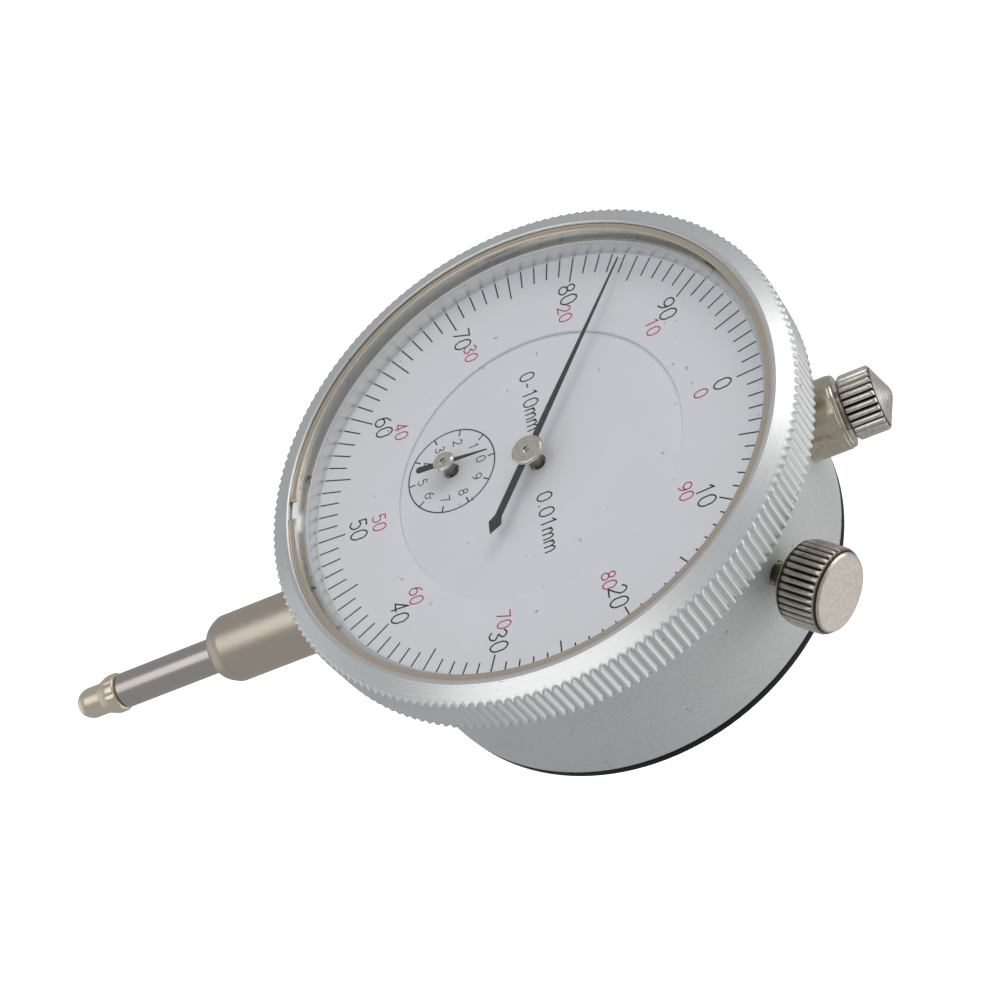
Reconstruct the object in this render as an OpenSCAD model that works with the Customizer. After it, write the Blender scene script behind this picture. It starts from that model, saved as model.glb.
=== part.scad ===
// Dial indicator: 10 mm of travel, one turn of the hand for each millimetre.
// Millimetres, +Z up. The spindle runs along Z and the dial faces -Y. The origin is on
// the stem's axis, halfway along the straight length that a clamp grips.

/* [Case] */
// Outer diameter of the case
case_d = 52; // [50:0.5:64]
// Thickness of the case wall
case_wall = 1.6; // [1.2:0.1:2.4]
// Depth of the case, from the dial's face to its rear edge
case_depth = 21.5; // [19:0.5:30]
// Thickness of the web behind the dial
web_t = 1.6; // [1.2:0.1:2.4]
// How far the flange that guides the bezel stands out from the case
flange_h = 0.4; // [0.3:0.05:0.6]

/* [Back cover] */
// Thickness of the back cover's rim
cover_t = 1.35; // [1:0.05:2.5]
// Depth of the spigot that locates the back cover
spigot_h = 1; // [0.6:0.1:1.5]
// Thickness of the lug
lug_t = 6; // [4:0.5:8]
// Height of the lug along the spindle's direction
lug_w = 13; // [11:0.5:16]
// Diameter of the lug's hole
lug_hole_d = 6.5; // [5:0.1:8]
// Distance from the back cover to the centre of the lug's hole
lug_reach = 7.5; // [6.5:0.5:12]
// Thread diameter of the cover screws
cover_screw_d = 2; // [1.6:0.1:2.4]

/* [Stem and bush] */
// Outer diameter of the stem
stem_d = 8; // [7:0.1:10]
// Straight length of the stem below the case
stem_len = 18.5; // [14:0.5:26]
// Length of the stem's tapered end
stem_nose_h = 1.8; // [1:0.1:3]
// Diameter of the stem's end face
stem_nose_d = 5.8; // [5.2:0.1:6.8]
// Outer diameter of the top bush
bush_d = 8.1; // [6.5:0.1:9.8]
// How far the top bush stands out of the case
bush_len = 4.35; // [2.5:0.05:6]

/* [Spindle] */
// Diameter of the spindle
spindle_d = 4.2; // [3.5:0.1:5.1]
// Travel of the spindle
travel = 10.2; // [10:0.1:10.4]
// Travel that is left before both hands stand at zero
preload = 0.159; // [0:0.001:0.3]
// Length of spindle that shows below the stem at rest
spindle_show = 13.1; // [11:0.1:20]
// Diameter of the anti-rotation pin
pin_d = 1.5; // [1.2:0.1:1.8]

/* [Contact point] */
// Largest diameter of the contact point's collar
contact_collar_d = 4.7; // [4.2:0.1:5.4]
// Length of the contact point's collar
contact_collar_h = 2.5; // [2:0.1:4]
// Diameter of the contact point's nose
contact_nose_d = 3.7; // [3:0.1:4]
// Length of the contact point's nose with its round tip
contact_nose_h = 3.9; // [3:0.1:8]

/* [Lift cap] */
// Outer diameter of the lift cap
cap_d = 7.1; // [6:0.1:8.6]
// Length of the lift cap's knurled band
cap_band_h = 3.4; // [2.4:0.1:6]
// Height of the lift cap's cone
cap_cone_h = 1.45; // [0.8:0.05:3]
// Gap between the top bush and the lift cap at rest
cap_gap = 0.35; // [0.2:0.05:1]

/* [Bezel] */
// How far the bezel stands out beyond the case
bezel_rim = 4; // [3:0.1:6]
// Height of the bezel above the dial's face
bezel_front = 3.85; // [3.6:0.05:5]
// Depth of the bezel behind the dial's face
bezel_skirt = 2.26; // [2:0.02:3]
// Thickness of the crystal
crystal_t = 1; // [0.8:0.1:1.2]
// Gap in the crystal's retaining ring
ring_gap = 2.4; // [1:0.1:5]

/* [Dial and hands] */
// Thickness of the dial ring
dial_t = 0.25; // [0.2:0.05:0.5]
// Thickness of the dial's centre
centre_t = 0.5; // [0.3:0.05:0.8]
// Depth of the dish that the dial ring makes around the dial's centre
dish_h = 0.7; // [0.3:0.05:0.9]
// Radius of the joint between the fixed dial and the turning ring
dial_joint_r = 16.4; // [15.5:0.1:19]
// Length of the hand from its axis to its tip
hand_r = 24.8; // [22:0.1:25]
// Length of the hand's tail
hand_tail_r = 10; // [8:0.1:12]
// Length of the counter hand from its axis to its tip
count_hand_r = 5.1; // [4:0.1:6]
// Length of the counter hand's tail
count_tail_r = 3; // [2:0.1:4]

/* [Gear train] */
// Module of the wheels and the centre pinion
gear_m = 0.19; // [0.155:0.005:0.195]
// Thickness of the toothed wheels
wheel_t = 0.6; // [0.4:0.05:0.8]
// Room for the train between the web and the bridge
train_room = 5.05; // [5:0.05:8]

/* [Lock screw] */
// Angle of the lock screw, clockwise from the top of the dial
lock_angle = 40.3; // [35:0.1:50]
// Depth of the lock screw behind the dial's face
lock_depth = 10.7; // [8:0.1:12]
// Thread diameter of the lock screw
lock_d = 2.5; // [2:0.1:3]
// Diameter of the lock screw's knob
knob_d = 8.9; // [7:0.1:11]
// Length of the knob
knob_h = 5.5; // [4:0.1:8]
// Gap between the case and the knob
knob_gap = 2; // [1.5:0.1:6]

/* [Hidden] */
$fn = 96;
eps = 0.01;               // overlap between shapes that are one piece
fit = 0.01;               // clearance of pieces that are pressed or screwed together
run = 0.03;               // running clearance of arbors, pivots and slides
bearing = 0.02;           // running clearance of the spindle in the stem and the bush
ring_play = 0.05;         // gap under the dial ring that turns
bezel_fit = 0.1;          // running clearance of the bezel on the case flange

case_r = case_d / 2;
case_ir = case_r - case_wall;
flange_r = case_r + flange_h;
ring_flat_r = case_r;      // the dial ring is flat outside this radius
dish_slope = dish_h / (ring_flat_r - dial_joint_r);
wall_front = dial_t + ring_play + dish_slope * case_wall;
centre_front = dish_h + dial_t + ring_play;
web_front = centre_front + centre_t;
web_rear = web_front + web_t;
bezel_r = case_r + bezel_rim;
skirt_ir = flange_r + bezel_fit;
stem_end_z = -stem_len / 2 - stem_nose_h;
dial_z = stem_len / 2 + case_r;              // height of the dial's centre

// Levels of the train, as depths behind the dial's face
bridge_t = 0.9;
bridge_gap = 0.35;        // gap between the bridge and the spindle
bridge_front = web_rear + train_room;
bridge_rear = bridge_front + bridge_t;
stem_depth = bridge_rear + bridge_gap + spindle_d / 2;
rear_gap = 1.45;          // gap between the spindle and the rear plate
plate_front = stem_depth + spindle_d / 2 + rear_gap;
plate_t = 1.2;
plate_rear = plate_front + plate_t;
count_wheel_front = web_rear + 1.05;
takeup_wheel_front = count_wheel_front + wheel_t + 1;
pinion_front = count_wheel_front - 0.3;
pinion_rear = takeup_wheel_front + wheel_t + 0.4;
hairspring_front = pinion_rear + 0.45;
hairspring_w = 0.5;

// Gears: a turn of the rack pinion is 10 mm, and ten turns of the centre pinion
wheel_teeth = 100;
pinion_teeth = 10;
rack_teeth = 16;
rack_pitch = 10 / rack_teeth;
rack_m = rack_pitch / PI;
rack_sink = 0.3;          // depth of the rack's pitch line in the spindle
rack_line = spindle_d / 2 - rack_sink;
rack_pinion_r = rack_m * rack_teeth / 2;
wheel_tip_r = gear_m * (wheel_teeth / 2 + 0.8);
centre_dist = gear_m * (wheel_teeth + pinion_teeth) / 2;
count_x = -(rack_line + rack_pinion_r);
count_y = -sqrt(pow(centre_dist, 2) - pow(count_x, 2));
takeup = [-count_x, -count_y];
centres_angle = atan2(takeup[1], takeup[0]);
arbor_d = 1.2;
arbor_end = 0.7;          // depth where the hands' arbors narrow to carry the hubs
pivot_d = 0.6;
collet_d = 2.2;
bearing_d = 2.4;          // outer diameter of a bearing bush

// Posts of the bridge and the rear plate, as [across, along] the line of centres
post_d = 3;
post_screw_d = 1.4;
screw_head_h = 0.7;
post_clear = wheel_tip_r + post_d / 2 + 0.5;
bridge_post_across = max(7.5, sqrt(max(0, pow(post_clear, 2) - pow(centre_dist, 2))) + 1);
bridge_posts = [[bridge_post_across, 0], [-bridge_post_across, 0], [0, centre_dist + post_clear]];
plate_post_across = bridge_post_across + 7;
plate_posts = [[plate_post_across, 0], [-plate_post_across, 0],
               [post_clear + 0.5, centre_dist + 1.1], [-post_clear - 0.5, -centre_dist - 1.1]];

// Anti-rotation guide and measuring spring, in dial coordinates
pin_y = 6;
guide_x = spindle_d / 2 + 1.2;
guide_w = 2.4;
guide_stop = 0.02;        // gap at the lower stop, so that the rest pose is free
guide_wall = 1.2;
spring_x = guide_x + guide_w + 3;
spring_wire = 0.3;
spring_r = 1.1;
spring_turns = 24;
spring_post_y = -9.5;
spring_post_d = 1.2;
pin_end_x = spring_x + 1;

// Lock: a swivel tip with a 45 degree cone lifts a plunger against the dial ring
plunger_d = 2;
tip_r = 1;
tip_apex_r = case_ir - 2.8;
plunger_r = tip_apex_r + plunger_d / 2;
plunger_front = dial_t + dish_slope * (ring_flat_r - plunger_r + plunger_d / 2) + fit;
tip_base_r = tip_apex_r + tip_r;
screw_end_r = tip_base_r + 0.6;
swivel_d = 1.2;
swivel_h = 1;
lock_boss_w = 7;

// Hands
hand_front = 1.25;        // height of the hand's face above the dial ring's rim
hand_t = 0.12;
hand_hub_d = 3.65;
hand_hub_h = 0.4;
hand_tube_d = 1.5;
hand_tube_end = 0.5;       // depth of the tube's lower end
hand_neck_d = 1.2;        // neck of the hub, which goes through the hand
count_hand_front = 0.72;
count_hub_d = 2.5;
count_hub_h = 0.33;
count_tube_d = 1.4;
count_neck_d = 1;
hand_hole_d = 1.9;        // hole in the dial around the hand's tube
count_hole_d = 1.8;

// Bezel profile, as [radius, height above the dial's face]
bezel_bore_r = case_r + 0.1;
crystal_r = bezel_bore_r + 1.2;
crystal_seat = bezel_front - 0.65 - crystal_t;
snap_r = crystal_r + 0.45;
snap_w = 1;
snap_t = 0.35;
lip_ir = snap_r - 0.25;
lip_r = snap_r + 0.45;
wire_d = 0.5;
wire_depth = 1.4;
wire_r = flange_r + 0.05;

cover_boss_d = 5;
cover_boss_r = case_ir - 2;
cover_boss_angles = [20, 160, 200, 340];
cover_head_d = cover_screw_d * 1.9;
cover_screw_h = 6;
cover_rear = case_depth + cover_t;
stem_inner_y = -(case_r - 3.8);
stem_seat_d = stem_d - 0.4;      // the stem is narrower inside the case
stem_shoulder_z = stem_len / 2 + 0.19;
bush_inner_y = case_r - 3.2;
contact_top_z = stem_end_z - spindle_show;
cap_bottom_z = dial_z + case_r + bush_len + cap_gap;
cap_bore_h = cap_band_h - 0.6;
stud_d = 2;
stud_h = 3;

// ---- Placing ----

// Dial coordinates: x to the right, y up, z out of the dial, centred on its face
module on_dial() {
    translate([0, -stem_depth, dial_z]) rotate([90, 0, 0]) children();
}

// A point on the dial, with its depth behind the face, drawn towards the back
module behind(x, y, depth) {
    on_dial() translate([x, y, -depth]) rotate([180, 0, 0]) children();
}

// [across, along] the line of centres, as [x, y] on the dial
function across(p) = [
    p[1] * cos(centres_angle) - p[0] * sin(centres_angle),
    p[1] * sin(centres_angle) + p[0] * cos(centres_angle)
];

// The lock screw's axis: local z points out of the case, local x towards the back
module on_lock(r) {
    on_dial() rotate([0, 0, -lock_angle]) translate([0, r, -lock_depth])
        rotate([-90, 0, 0]) rotate([0, 0, 90]) children();
}

// ---- Shared shapes ----

module tube(r1, r2, h) {
    difference() {
        cylinder(r = r1, h = h);
        translate([0, 0, -1]) cylinder(r = r2, h = h + 2);
    }
}

// A strip of flat plate between two points, and eyes around points
module strip(p, q, w) {
    d = q - p;
    translate(p) rotate(atan2(d[1], d[0])) translate([0, -w / 2]) square([norm(d), w]);
}

module eyes(points, d) {
    for (p = points) translate(p) circle(d = d);
}

// Half the angle of an involute tooth at radius r, for a pressure angle of 20 degrees
function roll(a) = tan(a) * 180 / PI - a;
function half_tooth(r, base_r, teeth, thin) =
    90 / teeth - thin + roll(20) - (r > base_r ? roll(acos(base_r / r)) : 0);

// Outline of a gear: flank points from the root to the tip and back, for each tooth
function gear_points(m, teeth, addendum, slack) =
    let (
        pitch_r = m * teeth / 2,
        base_r = pitch_r * cos(20),
        root_r = pitch_r - 1.3 * m,
        tip_r = pitch_r + addendum * m,
        foot_r = max(root_r, base_r),
        thin = slack / pitch_r * 90 / PI,
        flank = [root_r, for (k = [0 : 3]) foot_r + (tip_r - foot_r) * (0.001 + 0.999 * k / 3)]
    )
    [for (i = [0 : teeth - 1], side = [-1, 1], k = [0 : 4])
        let (
            r = flank[side < 0 ? k : 4 - k],
            a = i * 360 / teeth + side * half_tooth(r, base_r, teeth, thin)
        )
        [r * cos(a), r * sin(a)]];

module gear(m, teeth, addendum, slack, t) {
    linear_extrude(t) polygon(gear_points(m, teeth, addendum, slack));
}

// Straight knurl: a star outline with round-bottomed teeth
module knurl(d, depth, teeth, h) {
    linear_extrude(h) polygon([for (i = [0 : teeth - 1], k = [0 : 3])
        let (
            a = (i + [0, 0.3, 0.5, 0.8][k]) * 360 / teeth,
            r = d / 2 - (k < 2 ? 0 : depth)
        )
        [r * cos(a), r * sin(a)]]);
}

// A slotted cheese-head screw, head downwards at z = 0, shank along +z
module small_screw(d, head_d, head_h, length) {
    difference() {
        union() {
            translate([0, 0, -head_h]) cylinder(d = head_d, h = head_h);
            translate([0, 0, -eps]) cylinder(d = d, h = length + eps);
        }
        translate([-head_d, -0.15, -head_h - 1]) cube([2 * head_d, 0.3, 1 + head_h * 0.45]);
    }
}

// ---- Case ----

module case_bosses() {
    for (a = cover_boss_angles)
        behind(cover_boss_r * cos(a), cover_boss_r * sin(a), web_rear - eps)
            cylinder(d = cover_boss_d, h = case_depth - spigot_h - fit - web_rear + eps);
    // Blocks that the stem and the top bush pass through, trimmed to the wall
    intersection() {
        union() {
            translate([-stem_d / 2 - 1.5, -stem_d / 2 - 1.5, dial_z - case_r])
                cube([stem_d + 3, stem_d + 3, case_r + stem_inner_y]);
            translate([-bush_d / 2 - 1, -bush_d / 2 - 1, dial_z + bush_inner_y])
                cube([bush_d + 2, bush_d + 2, case_r - bush_inner_y]);
            on_dial() rotate([0, 0, -lock_angle])
                translate([-lock_boss_w / 2, tip_apex_r - 0.6, -lock_depth - lock_d / 2 - 1.2])
                    cube([lock_boss_w, case_r, lock_depth + lock_d / 2 + 1.2 - web_front - eps]);
        }
        behind(0, 0, 0) cylinder(r = case_ir + case_wall / 2, h = case_depth);
    }
}

module case_shell() {
    color([0.74, 0.77, 0.76]) difference() {
        union() {
            behind(0, 0, wall_front) tube(case_r, case_ir, case_depth - wall_front);
            behind(0, 0, web_front) cylinder(r = case_ir + eps, h = web_t);
            behind(0, 0, wall_front) tube(flange_r, case_r - eps, bezel_skirt - wall_front);
            case_bosses();
        }
        // Groove for the wire that holds the bezel
        behind(0, 0, wire_depth - wire_d / 2 - run) tube(flange_r + 1, case_r - 0.1, wire_d + 2 * run);
        // Bores for the stem and the top bush
        cylinder(d = stem_d + 2 * fit, h = stem_shoulder_z + fit);
        cylinder(d = stem_seat_d + 2 * fit, h = dial_z + stem_inner_y + 1);
        translate([0, 0, dial_z + bush_inner_y - 1]) cylinder(d = bush_d + 2 * fit, h = case_r);
        // Holes for the bearing bushes and the dial's feet
        for (p = [[0, 0], [count_x, count_y], takeup])
            behind(p[0], p[1], web_front - 1) cylinder(d = bearing_d + 2 * fit, h = web_t + 2);
        for (s = [-1, 1])
            behind(s * 12, 0, web_front - 1) cylinder(d = 1 + 2 * fit, h = web_t + 2);
        // Threaded holes for the posts and the cover screws
        for (p = concat(bridge_posts, plate_posts))
            behind(across(p)[0], across(p)[1], web_front + 0.3)
                cylinder(d = post_screw_d + 2 * fit, h = web_t);
        for (a = cover_boss_angles)
            behind(cover_boss_r * cos(a), cover_boss_r * sin(a), case_depth - spigot_h - cover_screw_h)
                cylinder(d = cover_screw_d + 2 * fit, h = cover_screw_h + 1);
        // The lock screw's thread, the tip's room and the plunger's bore
        on_lock(tip_apex_r - 1) cylinder(d = lock_d + 2 * run, h = case_r);
        on_dial() rotate([0, 0, -lock_angle]) translate([0, plunger_r, -lock_depth])
            cylinder(d = plunger_d + 2 * run, h = lock_depth);
    }
}

module stem() {
    color([0.68, 0.65, 0.6]) difference() {
        union() {
            translate([0, 0, -stem_len / 2]) cylinder(d = stem_d, h = stem_shoulder_z + stem_len / 2);
            cylinder(d = stem_seat_d, h = dial_z + stem_inner_y);
            translate([0, 0, stem_end_z]) rotate_extrude()
                polygon([[0, 0], [stem_nose_d / 2, 0],
                    for (a = [0 : 15 : 90])
                        [stem_nose_d / 2 + (stem_d - stem_nose_d) / 2 * (0.45 + 0.55 * sin(a)),
                         0.3 + (stem_nose_h - 0.3) * (1 - 0.9 * cos(a) - 0.1 * cos(a) * cos(a))],
                    [stem_d / 2, stem_nose_h + eps], [0, stem_nose_h + eps]]);
        }
        translate([0, 0, stem_end_z - 1]) cylinder(d = spindle_d + 2 * bearing, h = dial_z + 2);
    }
}

module top_bush() {
    z0 = dial_z + bush_inner_y;
    z1 = dial_z + case_r + bush_len;
    color([0.72, 0.67, 0.58]) difference() {
        union() {
            translate([0, 0, z0]) cylinder(d = bush_d, h = z1 - z0 - 0.35);
            translate([0, 0, z1 - 0.35 - eps]) cylinder(d1 = bush_d, d2 = bush_d - 0.7, h = 0.35 + eps);
        }
        translate([0, 0, z0 - 1]) cylinder(d = spindle_d + 2 * bearing, h = z1 - z0 + 2);
    }
}

module back_cover() {
    color([0.06, 0.06, 0.065]) difference() {
        union() {
            behind(0, 0, case_depth + fit) cylinder(r = case_r - 0.1, h = cover_t - 0.3);
            behind(0, 0, cover_rear - 0.3 + fit - eps)
                cylinder(r1 = case_r - 0.1, r2 = case_r - 0.4, h = 0.3 + eps);
            behind(0, 0, case_depth - spigot_h + fit) cylinder(r = case_ir - 0.1, h = spigot_h + eps);
            behind(-lug_t / 2, 0, cover_rear - eps) translate([0, -lug_w / 2, 0])
                cube([lug_t, lug_w, lug_reach + eps]);
            behind(-lug_t / 2, 0, cover_rear + lug_reach) rotate([0, 90, 0]) cylinder(d = lug_w, h = lug_t);
        }
        behind(-lug_t, 0, cover_rear + lug_reach) rotate([0, 90, 0]) cylinder(d = lug_hole_d, h = 2 * lug_t);
        for (a = cover_boss_angles)
            behind(cover_boss_r * cos(a), cover_boss_r * sin(a), case_depth - spigot_h - 1) {
                cylinder(d = cover_screw_d + 0.3, h = cover_t + spigot_h + 2);
                translate([0, 0, 1 + spigot_h + cover_t - 1.1 + fit])
                    cylinder(d1 = cover_screw_d + 0.3, d2 = cover_head_d + 0.3, h = 0.8);
                translate([0, 0, 1 + spigot_h + cover_t - 0.3 + fit - eps])
                    cylinder(d = cover_head_d + 0.3, h = 2);
            }
    }
}

module cover_screws() {
    color([0.75, 0.74, 0.72]) for (a = cover_boss_angles)
        behind(cover_boss_r * cos(a), cover_boss_r * sin(a), cover_rear - 0.3) rotate([180, 0, 0])
            difference() {
                union() {
                    cylinder(d1 = cover_head_d, d2 = cover_screw_d, h = 0.8);
                    translate([0, 0, 0.8 - eps])
                        cylinder(d = cover_screw_d, h = cover_screw_h + cover_t + spigot_h - 1.3);
                }
                translate([-cover_head_d, -0.2, -1]) cube([2 * cover_head_d, 0.4, 1.4]);
            }
}

// ---- Bearings, bridge and rear plate ----

module bearing_bush(bore_d, t) {
    tube(bearing_d / 2, bore_d / 2 + run, t);
}

module web_bushes() {
    color([0.8, 0.65, 0.3]) {
        behind(0, 0, web_front) bearing_bush(arbor_d, web_t);
        behind(count_x, count_y, web_front) bearing_bush(arbor_d, web_t);
        behind(takeup[0], takeup[1], web_front) bearing_bush(pivot_d, web_t);
    }
}

module bridge() {
    posts = [for (p = bridge_posts) across(p)];
    color([0.82, 0.68, 0.36]) difference() {
        behind(0, 0, bridge_front) mirror([0, 1, 0]) linear_extrude(bridge_t) difference() {
            union() {
                strip(posts[0], posts[1], post_d + 0.6);
                strip([0, 0], posts[2], post_d + 0.6);
                eyes(posts, post_d + 1.2);
                eyes([[0, 0], takeup], 6);
            }
            eyes(posts, post_screw_d + 0.1);
            eyes([[0, 0], takeup], bearing_d + 2 * fit);
        }
        behind(across([0, centre_dist + 5.8])[0], across([0, centre_dist + 5.8])[1], bridge_front - 1)
            cylinder(d = 1 + 2 * fit, h = bridge_t + 2);
    }
}

module bridge_bushes() {
    color([0.8, 0.65, 0.3]) for (p = [[0, 0], takeup])
        behind(p[0], p[1], bridge_front) bearing_bush(pivot_d, bridge_t);
}

// A post with a threaded foot in the web and a tapped hole in its other end
module post(p, h) {
    behind(across(p)[0], across(p)[1], web_rear) difference() {
        union() {
            cylinder(d = post_d, h = h - fit);
            translate([0, 0, 0.4 - web_t]) cylinder(d = post_screw_d, h = web_t);
        }
        translate([0, 0, h - 3]) cylinder(d = post_screw_d + 2 * fit, h = 4);
    }
}

module bridge_posts() {
    color([0.7, 0.7, 0.72]) for (p = bridge_posts) post(p, train_room);
}

module plate_posts() {
    color([0.7, 0.7, 0.72]) for (p = plate_posts) post(p, plate_front - web_rear);
}

module bridge_screws() {
    color([0.45, 0.5, 0.62]) for (p = bridge_posts)
        behind(across(p)[0], across(p)[1], bridge_rear + fit) rotate([180, 0, 0])
            small_screw(post_screw_d, 2.5, screw_head_h, bridge_t + 2.4);
}

module plate_screws() {
    color([0.45, 0.5, 0.62]) for (p = plate_posts)
        behind(across(p)[0], across(p)[1], plate_rear + fit) rotate([180, 0, 0])
            small_screw(post_screw_d, 2.5, screw_head_h, plate_t + 2.4);
}

guide_low = pin_y - pin_d / 2 - guide_stop - guide_wall;
guide_high = pin_y + travel + pin_d / 2 + 0.4 + guide_wall;
guide_mid_x = guide_x + guide_w / 2;
guide_screw_ys = [guide_low + 1.4, guide_high - 1.4];

module rear_plate() {
    p = [for (q = plate_posts) across(q)];
    guide_end = [guide_mid_x, guide_high - 1];
    spring_end = [spring_x, spring_post_y];
    color([0.82, 0.68, 0.36]) behind(0, 0, plate_front) mirror([0, 1, 0]) linear_extrude(plate_t)
        difference() {
            union() {
                for (i = [0, 1], j = [2, 3]) strip(p[i], p[j], post_d + 1.5);
                strip([guide_mid_x, 0], guide_end, guide_w + 2.6);
                strip(p[3], spring_end, 3.6);
                eyes(p, post_d + 2.4);
                eyes([guide_end], guide_w + 3.4);
                eyes([spring_end], 4.2);
                eyes([[count_x, count_y]], 6);
            }
            eyes(concat(p, [for (y = guide_screw_ys) [guide_mid_x, y]]), post_screw_d + 0.1);
            eyes([spring_end], spring_post_d + 2 * fit);
            eyes([[count_x, count_y]], bearing_d + 2 * fit);
        }
}

module rear_plate_bush() {
    color([0.8, 0.65, 0.3]) behind(count_x, count_y, plate_front) bearing_bush(pivot_d, plate_t);
}

module guide_rail() {
    top = stem_depth - pin_d / 2 - run - guide_wall;
    color([0.72, 0.72, 0.74]) on_dial() difference() {
        translate([guide_x, guide_low, -plate_front + fit])
            cube([guide_w, guide_high - guide_low, plate_front - fit - top]);
        translate([guide_x - 1, guide_low + guide_wall, -stem_depth - pin_d / 2 - run])
            cube([guide_w + 2, guide_high - guide_low - 2 * guide_wall, pin_d + 2 * run]);
        for (y = guide_screw_ys) translate([guide_mid_x, y, -plate_front - 1])
            cylinder(d = post_screw_d + 2 * fit, h = plate_front - stem_depth - pin_d / 2 + 0.6);
    }
}

module guide_screws() {
    color([0.45, 0.5, 0.62]) for (y = guide_screw_ys)
        behind(guide_mid_x, y, plate_rear + fit) rotate([180, 0, 0])
            small_screw(post_screw_d, 2.5, screw_head_h,
                plate_t + plate_front - stem_depth - pin_d / 2 - 0.6);
}

// ---- Springs ----

module spring_post() {
    color([0.7, 0.7, 0.72]) on_dial() translate([spring_x, spring_post_y, -plate_rear])
        cylinder(d = spring_post_d, h = plate_rear - stem_depth + spring_r + 0.3);
}

function unit(v) = v / norm(v);

// A round wire swept along a path, with a ring of points at each point of the path
module wire(path, d, sides) {
    n = len(path);
    along = [for (i = [0 : n - 1]) unit(path[min(i + 1, n - 1)] - path[max(i - 1, 0)])];
    side0 = unit(cross(along[0], [0.3, 0.9, 0.2]));
    side = [for (i = 0, s = side0; i < n;
        i = i + 1, s = i < n ? unit(s - (s * along[i]) * along[i]) : s) s];
    rings = [for (i = [0 : n - 1], k = [0 : sides - 1])
        path[i] + d / 2 * (cos(k * 360 / sides) * side[i]
            + sin(k * 360 / sides) * cross(along[i], side[i]))];
    walls = [for (i = [0 : n - 2], k = [0 : sides - 1])
        let (a = i * sides + k, b = i * sides + (k + 1) % sides)
        each [[a, a + sides, b + sides], [a, b + sides, b]]];
    ends = [[for (k = [0 : sides - 1]) k], [for (k = [sides - 1 : -1 : 0]) (n - 1) * sides + k]];
    polyhedron(rings, concat(walls, ends));
}

module measuring_spring() {
    low = spring_post_y;
    high = pin_y;
    low_hook = spring_post_d / 2 + spring_wire / 2 + 0.08;
    high_hook = pin_d / 2 + spring_wire / 2 + 0.08;
    body_low = low + low_hook + 1;
    body_high = high - high_hook - 1;
    path = concat(
        [for (a = [-200 : 20 : 60]) [low_hook * cos(a), 0, low + low_hook * sin(a)]],
        [[0, 0, low + low_hook + 0.35]],
        [for (i = [0 : spring_turns * 10])
            let (f = i / (spring_turns * 10), a = i * 36)
            [spring_r * cos(a), spring_r * sin(a), body_low + f * (body_high - body_low)]],
        [[0, 0, high - high_hook - 0.35]],
        [for (a = [-60 : 20 : 200]) [0, high_hook * cos(a), high + high_hook * sin(a)]]
    );
    color([0.75, 0.76, 0.78]) translate([spring_x, 0, dial_z]) wire(path, spring_wire, 6);
}

spiral_turns = 5;
spiral_in = collet_d / 2 + 0.07;
spiral_out = 5.8 - 0.5 - 0.07;

function spiral_point(f, dr) =
    let (
        a = centres_angle - spiral_turns * 360 * (1 - f),
        r = spiral_in + (spiral_out - spiral_in) * f + dr
    )
    [r * cos(a), r * sin(a)];

module hairspring() {
    steps = spiral_turns * 24;
    color([0.3, 0.4, 0.62]) on_dial() translate([takeup[0], takeup[1], -hairspring_front - hairspring_w])
        linear_extrude(hairspring_w) polygon(concat(
            [for (i = [0 : steps]) spiral_point(i / steps, -0.06)],
            [for (i = [steps : -1 : 0]) spiral_point(i / steps, 0.06)]));
}

module hairspring_stud() {
    p = across([0, centre_dist + 5.8]);
    color([0.8, 0.65, 0.3]) behind(p[0], p[1], hairspring_front - 0.3)
        cylinder(d = 1, h = bridge_rear - hairspring_front + 0.3);
}

// ---- Dial and bezel ----

module dial_centre() {
    color([0.8, 0.82, 0.84]) behind(0, 0, centre_front) mirror([0, 1, 0])
        linear_extrude(centre_t - fit) difference() {
            circle(r = dial_joint_r + 1.2);
            circle(d = hand_hole_d);
            translate([count_x, count_y]) circle(d = count_hole_d);
        }
}

module dial_feet() {
    color([0.75, 0.45, 0.3]) for (s = [-1, 1])
        behind(s * 12, 0, web_front) cylinder(d = 1, h = web_t);
}

module bezel_wire() {
    color([0.7, 0.7, 0.72]) behind(0, 0, wire_depth) rotate([0, 0, 4])
        rotate_extrude(angle = 350) translate([wire_r, 0]) circle(d = wire_d);
}

module bezel() {
    groove = wire_d / 2 + 0.1;
    snap_top = crystal_seat + crystal_t + snap_t + 0.05;
    color([0.83, 0.84, 0.85]) on_dial() rotate_extrude() polygon([
        [skirt_ir, -bezel_skirt], [bezel_r - 0.25, -bezel_skirt], [bezel_r, -bezel_skirt + 0.25],
        [bezel_r, bezel_front - 1.25], [bezel_r - 0.4, bezel_front - 0.85], [lip_r, bezel_front - 0.12],
        [lip_r - 0.12, bezel_front], [lip_ir + 0.12, bezel_front], [lip_ir, bezel_front - 0.12],
        [lip_ir, snap_top], [snap_r, snap_top],
        [snap_r, crystal_seat + crystal_t], [crystal_r + fit, crystal_seat + crystal_t],
        [crystal_r + fit, crystal_seat], [bezel_bore_r, crystal_seat],
        [bezel_bore_r, 0], [skirt_ir, 0],
        [skirt_ir, -wire_depth + groove], [wire_r + groove, -wire_depth + groove],
        [wire_r + groove, -wire_depth - groove], [skirt_ir, -wire_depth - groove]
    ]);
}

module dial_ring() {
    color([0.8, 0.82, 0.84]) on_dial() rotate_extrude() polygon([
        [skirt_ir - fit, 0], [ring_flat_r, 0], [dial_joint_r, -dish_h], [dial_joint_r, -dish_h - dial_t],
        [ring_flat_r, -dial_t], [skirt_ir - fit, -dial_t]
    ]);
}

module crystal() {
    color([0.9, 0.95, 1, 0.3]) on_dial() translate([0, 0, crystal_seat])
        cylinder(r = crystal_r, h = crystal_t);
}

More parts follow.
